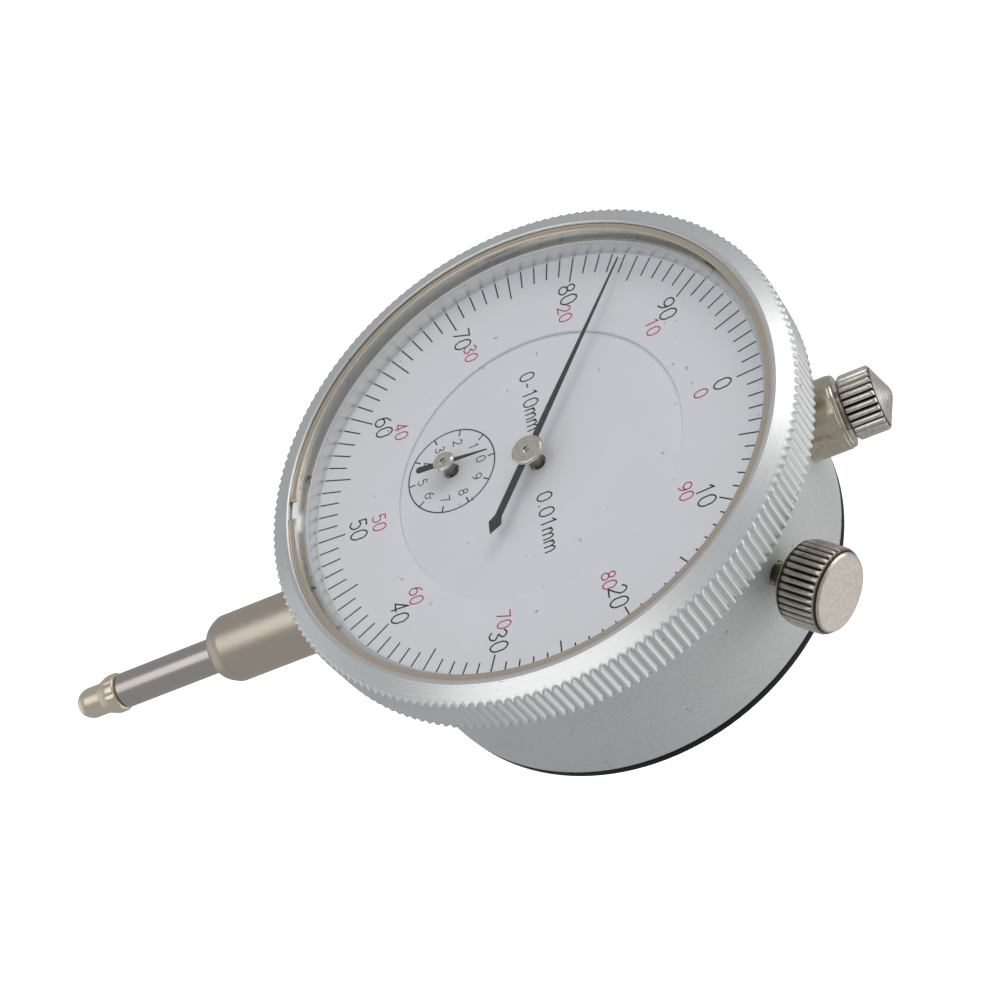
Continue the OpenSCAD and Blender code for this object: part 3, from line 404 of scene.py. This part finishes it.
def knurl(teeth, depth, outer, low, high, sharp=1.0):
    """Presses straight grooves between rounded ridges into the wall from low to high"""
    def carve(v):
        spot = math.hypot(v.co.x, v.co.y)
        if spot < outer - depth - 1.5 or not low < v.co.z < high:
            return
        phase = (math.atan2(v.co.y, v.co.x) / math.tau * teeth) % 1.0
        groove = abs(math.cos(math.pi * phase)) ** (3.0 * sharp)
        limit = outer - depth * groove
        if spot > limit:
            v.co.x *= limit / spot
            v.co.y *= limit / spot
    return carve


lip = FRONT
cone = [(28.15 + 1.85 * k / 9, lip - 0.06 - 1.02 * k / 9) for k in range(10)]
bezel = piece("bezel_finish", turned([
    (26.55, -SKIRT + 0.02), (29.45, -SKIRT, 0.08), (29.62, -SKIRT + 0.12), (29.66, -SKIRT + 0.2),
    (BEZEL_R, -SKIRT + 0.3), (BEZEL_R, -1.2), (BEZEL_R, 0.2), (BEZEL_R, 1.6), (BEZEL_R, 2.5),
    *reversed(cone), (28.05, lip, 0.04), (27.62, lip, 0.05), (27.5, lip - 0.12, 0.03),
    (27.5, SEAT + GLASS + 0.4), (27.75, SEAT + GLASS + 0.4), (27.75, SEAT + GLASS),
    (27.32, SEAT + GLASS), (27.32, SEAT), (26.1, SEAT, 0.05),
    (26.1, 0.0), (26.55, 0.0)], on_dial, RIDGES * 6, knurl(RIDGES, 0.36, BEZEL_R, -SKIRT + 0.25, lip)),
    bezel_metal, 40.0)
given(bezel, "bezel_set", "bezel")

# ---- Crystal ----
# Clear disc with polished faces and a small bevel round its edge.
clear = Finish("crystal_clear", 0.0, Roughness=0.03, IOR=1.49)
clear.shader.inputs["Base Color"].default_value = (1, 1, 1, 1)
glance = clear.add("LayerWeight", {}, {"Blend": 0.5}, "Facing")
clear.tree.links.new((glance * glance * glance * 0.3 + 0.008).socket, clear.shader.inputs["Alpha"])
clear.shader.inputs["Metallic"].default_value = 1.0
crystal = piece("crystal_finish", turned([
    (0, SEAT), (27.3, SEAT, 0.12), (27.3, SEAT + GLASS, 0.12), (0, SEAT + GLASS)], on_dial, 128),
    clear.material, 10.0)
given(crystal, "bezel_set", "crystal")
crystal.visible_shadow = False

# ---- Crystal ring ----
# Split ring of sprung bronze, snapped into the groove over the crystal.
ring_bronze = metal("ring_bronze", (0.56, 0.47, 0.37, 1), (0.84, 0.75, 0.63, 1), 0.20, 0.12, 2200.0, 0.000004,
                    radius_from_centre)
snap = finished_copy("crystal_ring", ring_bronze, 0.00008, None, 50.0)
given(snap, "bezel_set", "crystal_ring")

# ---- Dial ring ----
# Enamelled sheet in a shallow dish: a hundred printed divisions, black numbers and, for
# counting the other way, red ones inside them. It turns with the bezel.
DISH = 0.7
JOINT_R = 16.4


def enamel_finish(name, light):
    enamel = Finish(name, 0.0, Coat_Weight=0.3, Coat_Roughness=0.25)
    dust = (enamel.noise(900.0, 2.0) - 0.735).ramp(0.0, 0.03)
    soft = enamel.noise(220.0, 3.0)
    weave = enamel.noise(5000.0, 2.0)
    lighter = tuple(v * 1.03 for v in light[:3]) + (1,)
    colour = enamel.blend(soft.ramp(0.3, 0.7) * 0.5 + weave * 0.3, light, lighter)
    colour = enamel.blend(dust * 0.55, colour, (0.16, 0.16, 0.17, 1))
    return enamel.wear(colour, 0.42 + weave * 0.1, weave, 0.000004)


dial_enamel = enamel_finish("dial_enamel", (0.88, 0.895, 0.93, 1))
dial_ring = piece("dial_ring_finish", turned([
    (26.5, -0.25), (26.5, 0), (CASE_R, 0), (JOINT_R + 0.08, -DISH + 0.005), (JOINT_R, -DISH - 0.07),
    (JOINT_R, -DISH - 0.25), (CASE_R, -0.25)], on_dial, 200), dial_enamel, 12.0)
given(dial_ring, "bezel_set", "dial_ring")


def ink(name, colour):
    printed = Finish(name, 0.0, Specular_IOR_Level=0.35)
    cover_up = printed.noise(3000.0, 3.0)
    lighter = tuple(min(1.0, v * 1.5 + 0.012) for v in colour[:3]) + (1,)
    return printed.wear(printed.blend(cover_up.ramp(0.4, 0.8) * 0.5, colour, lighter), 0.45 + cover_up * 0.1)


black_ink = ink("black_ink", (0.012, 0.013, 0.016, 1))
red_ink = ink("red_ink", (0.52, 0.018, 0.055, 1))


def dished(r):
    """Height of the dial ring's face at a radius"""
    return -DISH * (CASE_R - min(r, CASE_R)) / (CASE_R - JOINT_R)


def level(height):
    return lambda r: height


def bars(mesh, count, inner, outer, width, centre, surface, turn=0.0):
    """Printed radial lines, as thin as ink"""
    for i in range(count):
        r0 = inner(i)
        made = bmesh.ops.create_cube(mesh, size=1.0)["verts"]
        bmesh.ops.transform(mesh, verts=made, matrix=Matrix.Rotation(turn - i * math.tau / count, 4, "Z")
                            @ Matrix.Translation((0, (r0 + outer) / 2, 0))
                            @ Matrix.Diagonal((width, outer - r0, 0.016, 1)))
        for v in made:
            v.co.z += surface(v.co.xy.length) + 0.006
            v.co.xy += Vector(centre)


strokes = {
    "0": [("o", (0.5, 0), (0.95, 0.22), (1, 0.5), (0.95, 0.78), (0.5, 1), (0.05, 0.78), (0, 0.5),
           (0.05, 0.22))],
    "1": [("l", (0.22, 0.8), (0.6, 1), (0.6, 0))],
    "2": [("c", (0.03, 0.76), (0.5, 1), (0.95, 0.72), (0.6, 0.36)), ("l", (0.6, 0.36), (0, 0), (1, 0))],
    "3": [("c", (0.05, 0.86), (0.5, 1), (0.9, 0.76), (0.42, 0.54)),
          ("c", (0.42, 0.54), (1, 0.27), (0.5, 0), (0, 0.16))],
    "4": [("l", (0.68, 0), (0.68, 1), (0, 0.28), (1, 0.28))],
    "5": [("l", (0.9, 1), (0.15, 1), (0.08, 0.55)),
          ("c", (0.08, 0.55), (0.55, 0.64), (1, 0.32), (0.5, 0), (0, 0.13))],
    "6": [("o", (0.5, 0), (1, 0.3), (0.5, 0.6), (0, 0.3)), ("c", (0, 0.3), (0.15, 0.72), (0.7, 1))],
    "7": [("l", (0, 1), (1, 1), (0.36, 0))],
    "8": [("o", (0.5, 0), (1, 0.27), (0.5, 0.53), (0, 0.27)),
          ("o", (0.5, 0.53), (0.9, 0.77), (0.5, 1), (0.1, 0.77))],
    "9": [("o", (0.5, 1), (0, 0.7), (0.5, 0.4), (1, 0.7)), ("c", (1, 0.7), (0.85, 0.28), (0.3, 0))],
    "m": [("l", (0, 0), (0, 0.68)), ("c", (0, 0.45), (0.35, 0.7), (0.66, 0.46)),
          ("l", (0.66, 0.46), (0.66, 0)),
          ("c", (0.66, 0.45), (1.02, 0.7), (1.33, 0.46)), ("l", (1.33, 0.46), (1.33, 0))],
    "-": [("l", (0.1, 0.42), (0.7, 0.42))],
    ".": [("l", (0.08, 0.04), (0.25, 0.04))],
}
widths = {"m": 1.33, "-": 0.8, ".": 0.35}


def letter(mesh, words, height, width, gap, weight, centre, surface, start=None):
    """Prints a row of single-stroke figures, level, centred on a point or starting at start"""
    sizes = [width * widths.get(c, 1.0) for c in words]
    x = -(sum(sizes) + gap * (len(words) - 1)) / 2 if start is None else start
    curve = bpy.data.curves.new("strokes", "CURVE")
    curve.dimensions, curve.fill_mode, curve.resolution_u = "2D", "NONE", 5
    curve.bevel_depth, curve.bevel_resolution, curve.use_fill_caps = weight / 2, 1, True
    for character, size in zip(words, sizes):
        for kind, *path in strokes[character]:
            line = curve.splines.new("BEZIER")
            line.bezier_points.add(len(path) - 1)
            line.use_cyclic_u = kind == "o"
            for knot, (u, v) in zip(line.bezier_points, path):
                knot.co = (x + u * width, (v - 0.5) * height, 0)
                knot.handle_left_type = knot.handle_right_type = "VECTOR" if kind == "l" else "AUTO"
        x += size + gap
    holder = bpy.data.objects.new("strokes", curve)
    printed = bpy.data.meshes.new_from_object(holder)
    known = len(mesh.verts)
    mesh.from_mesh(printed)
    mesh.verts.ensure_lookup_table()
    for v in mesh.verts[known:]:
        v.co.xy += Vector(centre)
        v.co.z = 0.2 * v.co.z + surface(v.co.xy.length) + 0.004
    bpy.data.objects.remove(holder)
    bpy.data.curves.remove(curve)
    bpy.data.meshes.remove(printed)


def around(radius, share):
    angle = share * math.tau
    return radius * math.sin(angle), radius * math.cos(angle)


def printing(name, mesh, material, body):
    bmesh.ops.transform(mesh, matrix=on_dial, verts=mesh.verts[:])
    bmesh.ops.recalc_face_normals(mesh, faces=mesh.faces[:])
    thing = piece(name, mesh, material, 60.0)
    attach(thing, body)


black = bmesh.new()
bars(black, 100, lambda i: 22.8 if i % 5 == 0 else 23.7, 25.97, 0.15, (0, 0), dished)
red = bmesh.new()
for k in range(10):
    letter(black, str(10 * k), 1.93, 1.02, 0.42, 0.17, around(21.2, k / 10), dished)
    letter(red, str((100 - 10 * k) % 100), 1.5, 0.82, 0.34, 0.14, around(18.75, k / 10), dished)
printing("scale_black", black, black_ink, "bezel_set")
printing("scale_red", red, red_ink, "bezel_set")

# ---- Dial centre ----
# Still disc behind the ring, enamelled alike, with the range, the graduation and the
# counter's scale, and holes that the hands' hubs pass through.
low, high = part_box("count_hub")
count_x, count_y = (low.x + high.x) * 500, ((low.z + high.z) / 2 - dial_z) * 1000
CENTRE = -1.0
disc = finished_copy("dial_centre", dial_enamel, 0.00004, None, 50.0)
given(disc, "case", "dial_centre")
legend = bmesh.new()
still = level(CENTRE)
letter(legend, "0-10mm", 1.68, 0.92, 0.36, 0.16, (-12.2, 0.21), still, 0.0)
letter(legend, "0.01mm", 1.68, 0.92, 0.36, 0.16, (4.2, 0.21), still, 0.0)
bars(legend, 10, lambda i: 4.4, 5.14, 0.14, (count_x, count_y), level(CENTRE))
for k in range(10):
    x, y = around(3.55, -k / 10)
    letter(legend, str(k), 1.07, 0.62, 0.2, 0.11, (count_x + x, count_y + y), still)
hoop = bmesh.ops.create_circle(legend, segments=72, radius=5.12, cap_ends=False)["verts"]
outer_hoop = bmesh.ops.create_circle(legend, segments=72, radius=5.26, cap_ends=False)["verts"]
bmesh.ops.bridge_loops(legend, edges=list({e for v in hoop + outer_hoop for e in v.link_edges}))
for v in hoop + outer_hoop:
    v.co += Vector((count_x, count_y, CENTRE + 0.012))
printing("centre_print", legend, black_ink, "case")

# ---- Hands ----
# Thin blackened strips: the long one pointed, with a spade tail, the counter's short
# with a round tail. Each is riveted under the disc of its hub.
HAND_Z, HAND_T = 1.25, 0.12
hand_black_finish = Finish("hand_black", 0.0, Specular_IOR_Level=0.6)
soot = hand_black_finish.noise(1800.0, 3.0)
hand_black = hand_black_finish.wear(
    hand_black_finish.blend(soot.ramp(0.3, 0.7), (0.032, 0.032, 0.034, 1), (0.055, 0.055, 0.058, 1)),
    0.38 + soot * 0.2, soot, 0.00001)
turn_share = 0.159


def strip(outline, front, angle, centre):
    """A flat blade of an outline, with eased edges, turned and set at a height"""
    mesh = bmesh.new()
    blade = mesh.faces.new([mesh.verts.new((x, y, front - HAND_T)) for x, y in outline])
    raised = bmesh.ops.extrude_face_region(mesh, geom=[blade])["geom"]
    front_corners = [part for part in raised if isinstance(part, bmesh.types.BMVert)]
    bmesh.ops.translate(mesh, verts=front_corners, vec=(0, 0, HAND_T))
    bmesh.ops.recalc_face_normals(mesh, faces=mesh.faces[:])
    bmesh.ops.bevel(mesh, geom=mesh.edges[:], offset=0.025, offset_type="OFFSET", affect="EDGES", segments=1,
                    profile=0.5, material=-1)
    in_place = on_dial @ Matrix.Translation((*centre, 0)) @ Matrix.Rotation(angle, 4, "Z")
    bmesh.ops.transform(mesh, matrix=in_place, verts=mesh.verts[:])
    return mesh


long_half = [(0.08, 24.8), (0.42, 0), (0.42, -7.8), (0.8, -8.7)]
hand = piece("hand_finish", strip([*long_half, (0, -10), *[(-x, y) for x, y in reversed(long_half)]],
                                  HAND_Z, turn_share * math.tau, (0, 0)), hand_black)
given(hand, "hand_set", "hand")
tail = [(0.4 * math.cos(math.radians(a)), -3.0 - 0.4 * math.sin(math.radians(a))) for a in range(0, 181, 20)]
short = piece("count_hand_finish", strip([(0.06, 5.1), (0.3, 0), *tail, (-0.3, 0), (-0.06, 5.1)],
                                         0.72, -turn_share * math.tau / 10, (count_x, count_y)), hand_black)
given(short, "counter_set", "count_hand")

# ---- Hubs ----
# Nickel-plated rivet discs with a bevelled edge, on tubes that go down through the dial
# to the arbors; the arbor's dark end shows in the middle. Painted shade darkens the tubes
# and their bores from just in front of the dial face down into the dial's holes.
# Hub nickel with painted shade on the tubes from 0.45 to 0.6 mm in front of the dial face backwards
hub_nickel = metal("hub_nickel", (0.62, 0.565, 0.50, 1), (0.82, 0.77, 0.70, 1), 0.20, 0.10, 3000.0,
                   0.000004, None,
                   lambda finish: ((finish.axis("Y") - face_y) * 1000.0).ramp(-0.6, -0.45) * 0.7)


def hub(r, thick, tube_r, hole_r, front):
    return [(0.31, -0.5), (tube_r, -0.5), (tube_r, front - HAND_T - 0.01),
            (tube_r - 0.15, front - HAND_T - 0.01),
            (tube_r - 0.15, front + 0.01), (r - 0.12, front + 0.01, 0.05), (r, front + 0.1, 0.04),
            (r, front + thick - 0.2, 0.05), (r - 0.22, front + thick, 0.05), (hole_r, front + thick, 0.04),
            (hole_r, front + thick - 0.3), (0.31, front + thick - 0.3)]


big = piece("hand_hub_finish", turned(hub(1.82, 0.41, 0.75, 0.42, HAND_Z), on_dial, 64), hub_nickel)
given(big, "hand_set", "hand_hub")
at_counter = on_dial @ Matrix.Translation((count_x, count_y, 0))
small = piece("count_hub_finish", turned(hub(1.25, 0.34, 0.7, 0.38, 0.72), at_counter, 64), hub_nickel)
given(small, "counter_set", "count_hub")

# ---- Spindle ----
# Hardened steel rod, ground all over, with the rack cut into it inside the case.
spindle_steel = metal("spindle_steel", (0.42, 0.39, 0.365, 1), (0.56, 0.525, 0.495, 1), 0.30, 0.10,
                      3500.0, 0.000001, height_up)
spindle = finished_copy("spindle", spindle_steel)
given(spindle, "spindle_set", "spindle")

# ---- Contact point ----
# Pale brass: a collar fluted for the fingers, a round nose, and a stud that screws into
# the spindle.
low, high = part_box("contact_point")
tip = low.z * 1000
top = tip + 6.4
contact_brass = metal("contact_brass", (0.66, 0.58, 0.45, 1), (0.86, 0.78, 0.64, 1), 0.34, 0.12,
                      3000.0, 0.000003, height_up)


def flutes(v):
    spot = math.hypot(v.co.x, v.co.y)
    if spot > 2.05 and tip + 4.0 < v.co.z < top - 0.05:
        limit = 2.35 - 0.13 * math.sin(5.0 * math.atan2(v.co.y, v.co.x)) ** 8
        if spot > limit:
            v.co.xy *= limit / spot


nose_angles = [math.radians(9 * k) for k in range(11)]
nose = [(1.85 * math.sin(a), tip + 1.89 * (1 - math.cos(a))) for a in nose_angles]
contact = piece("contact_point_finish", turned([
    *nose, (1.85, tip + 3.75, 0.1), (2.0, tip + 3.95, 0.1), (2.35, tip + 4.9, 0.2), (2.35, top - 0.5, 0.15),
    (2.05, top - 0.28, 0.06), (1.75, top - 0.24), (1.75, top - 0.02), (1.0, top - 0.02), (1.0, top + 2.9),
    (0, top + 2.9)],
    upright, 120, flutes), contact_brass)
given(contact, "spindle_set", "contact_point")

# ---- Lift cap ----
# Nickel-plated cap on the spindle's upper end: twenty-six deep ridges and a plain cone,
# with painted shade in the grooves between the ridges.
low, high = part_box("lift_cap")
cap_low, cap_high = low.z * 1000, high.z * 1000
# Painted shade in the cap's grooves and round the foot of its cone, by distance from the spindle's axis
cap_nickel = metal("cap_nickel", (0.56, 0.52, 0.47, 1), (0.80, 0.77, 0.72, 1), 0.24, 0.12, 2800.0,
                   0.000004, None, in_grooves((0, 0, 0), (0, 0, 1), 3.16, 3.42))
CONE_FOOT, CONE_TOP = 3.1, 0.4
foot_z, cone_rise = cap_low + 3.59, cap_high - 0.02 - cap_low - 3.59
cone_slope = cone_rise / (CONE_FOOT - CONE_TOP)
plain_cone = [(r, foot_z + cone_slope * (CONE_FOOT - r)) for r in (3.04, 2.9, 2.4, 1.5)]
cap = piece("lift_cap_finish", turned([
    (2.12, cap_low), (3.15, cap_low, 0.05), (3.5, cap_low + 0.25, 0.05), (3.54, cap_low + 0.5),
    (3.54, cap_low + 3.0), (3.54, cap_low + 3.3), (3.45, cap_low + 3.42), (3.3, cap_low + 3.5),
    (CONE_FOOT, foot_z), *plain_cone, (CONE_TOP, cap_high - 0.02, 0.3),
    (0, cap_high), (0, cap_low + 2.8), (2.12, cap_low + 2.8)], upright, 26 * 8,
    knurl(26, 0.42, 3.54, cap_low + 0.1, cap_low + 3.58, 1.6)), cap_nickel, 40.0)
given(cap, "spindle_set", "lift_cap")

# ---- Lock screw and knob ----
# Screw from the side of the case, with a fine thread that shows in the gap, and a
# nickel-plated knob pressed on it: straight ridges with painted shade in the grooves between
# them, a plain bevelled rim and a flat face.
low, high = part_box("lock_screw")
middle = on_dial.inverted() @ ((low + high) / 2)
lock_turn = math.atan2(middle.y, middle.x)
out_of_case = (on_dial @ Matrix.Translation((0, 0, middle.z)) @ Matrix.Rotation(lock_turn, 4, "Z")
               @ Matrix.Rotation(math.radians(90), 4, "Y"))
screw_in, screw_out = 22.8, 30.9
thread_steel = metal("thread_steel", (0.16, 0.14, 0.12, 1), (0.40, 0.36, 0.31, 1), 0.30, 0.2, 3000.0)
shank = turned([(0, screw_in + 1.1), (0.64, screw_in + 1.1), (0.64, screw_in), (0.94, screw_in),
                (0.94, screw_out), (0, screw_out)], Matrix.Identity(4), 32)
PITCH, TURNS = 0.45, 13
tooth = [(0.9, 0, screw_in + 1.2), (1.24, 0, screw_in + 1.4), (0.9, 0, screw_in + 1.6)]
ridge = [shank.verts.new(corner) for corner in tooth]
profile = [shank.edges.new(pair) for pair in zip(ridge, ridge[1:] + ridge[:1])]
bmesh.ops.spin(shank, geom=ridge + profile, cent=(0, 0, 0), axis=(0, 0, 1), dvec=(0, 0, PITCH / 24),
               angle=math.tau * TURNS, steps=24 * TURNS)
bmesh.ops.holes_fill(shank, edges=[e for e in shank.edges if e.is_boundary], sides=3)
bmesh.ops.recalc_face_normals(shank, faces=shank.faces[:])
bmesh.ops.transform(shank, matrix=out_of_case, verts=shank.verts[:])
thread = piece("lock_screw_finish", shank, thread_steel, 40.0)
given(thread, "lock_screw_set", "lock_screw")
# Painted shade in the knob's grooves, by distance from the screw's axis
knob_nickel = metal("knob_nickel", (0.48, 0.43, 0.37, 1), (0.70, 0.65, 0.58, 1), 0.30, 0.14, 2200.0,
                    0.000006, None,
                    in_grooves(out_of_case.translation, out_of_case.col[2].xyz * 1000, 4.16, 4.36))
KNOB = 28.0
knob = piece("lock_knob_finish", turned([
    (1.3, KNOB), (2.85, KNOB, 0.1), (3.55, KNOB + 0.25), (4.1, KNOB + 0.75), (4.38, KNOB + 1.4),
    (4.44, KNOB + 2.2),
    (4.44, KNOB + 3.2), (4.44, KNOB + 4.3), (4.4, KNOB + 4.75), (4.3, KNOB + 4.95), (3.95, KNOB + 5.42),
    (3.75, KNOB + 5.5, 0.12), (0, KNOB + 5.5), (0, KNOB + 3.05), (1.3, KNOB + 3.05)], out_of_case, 36 * 8,
    knurl(36, 0.3, 4.44, KNOB + 0.3, KNOB + 4.8)), knob_nickel, 40.0)
given(knob, "lock_screw_set", "lock_knob")

# ---- Movement ----
# Brass plates and wheels, bronze bearings, steel arbors and posts, blued screws and
# hairspring, out of sight behind the dial.
movement = {
    "movement_brass": ((0.50, 0.36, 0.14, 1), (0.72, 0.55, 0.27, 1), 0.26, 0.12, 1800.0),
    "bearing_bronze": ((0.45, 0.28, 0.13, 1), (0.62, 0.42, 0.22, 1), 0.3, 0.12, 2500.0),
    "movement_steel": ((0.36, 0.36, 0.37, 1), (0.55, 0.55, 0.56, 1), 0.25, 0.12, 2500.0),
    "blued_steel": ((0.05, 0.08, 0.24, 1), (0.10, 0.16, 0.40, 1), 0.22, 0.1, 2500.0),
    "spring_steel": ((0.42, 0.43, 0.45, 1), (0.60, 0.61, 0.63, 1), 0.24, 0.1, 3000.0),
    "foot_copper": ((0.55, 0.26, 0.14, 1), (0.74, 0.40, 0.24, 1), 0.28, 0.1, 3000.0),
}
made_of = {
    "movement_brass": ["bridge", "rear_plate", "count_wheel", "takeup_wheel", "hairspring_collet",
                       "hairspring_stud", "lock_tip", "brake_plunger"],
    "bearing_bronze": ["web_bushes", "bridge_bushes", "rear_plate_bush"],
    "movement_steel": ["bridge_posts", "plate_posts", "guide_rail", "spring_post", "centre_arbor",
                       "count_arbor", "takeup_arbor", "guide_pin"],
    "blued_steel": ["bridge_screws", "plate_screws", "guide_screws", "hairspring"],
    "spring_steel": ["measuring_spring", "bezel_wire"],
    "foot_copper": ["dial_feet"],
}
for name, recipe in movement.items():
    material = metal(name, *recipe)
    for node in made_of[name]:
        for slot in nodes[node].material_slots:
            slot.material = material
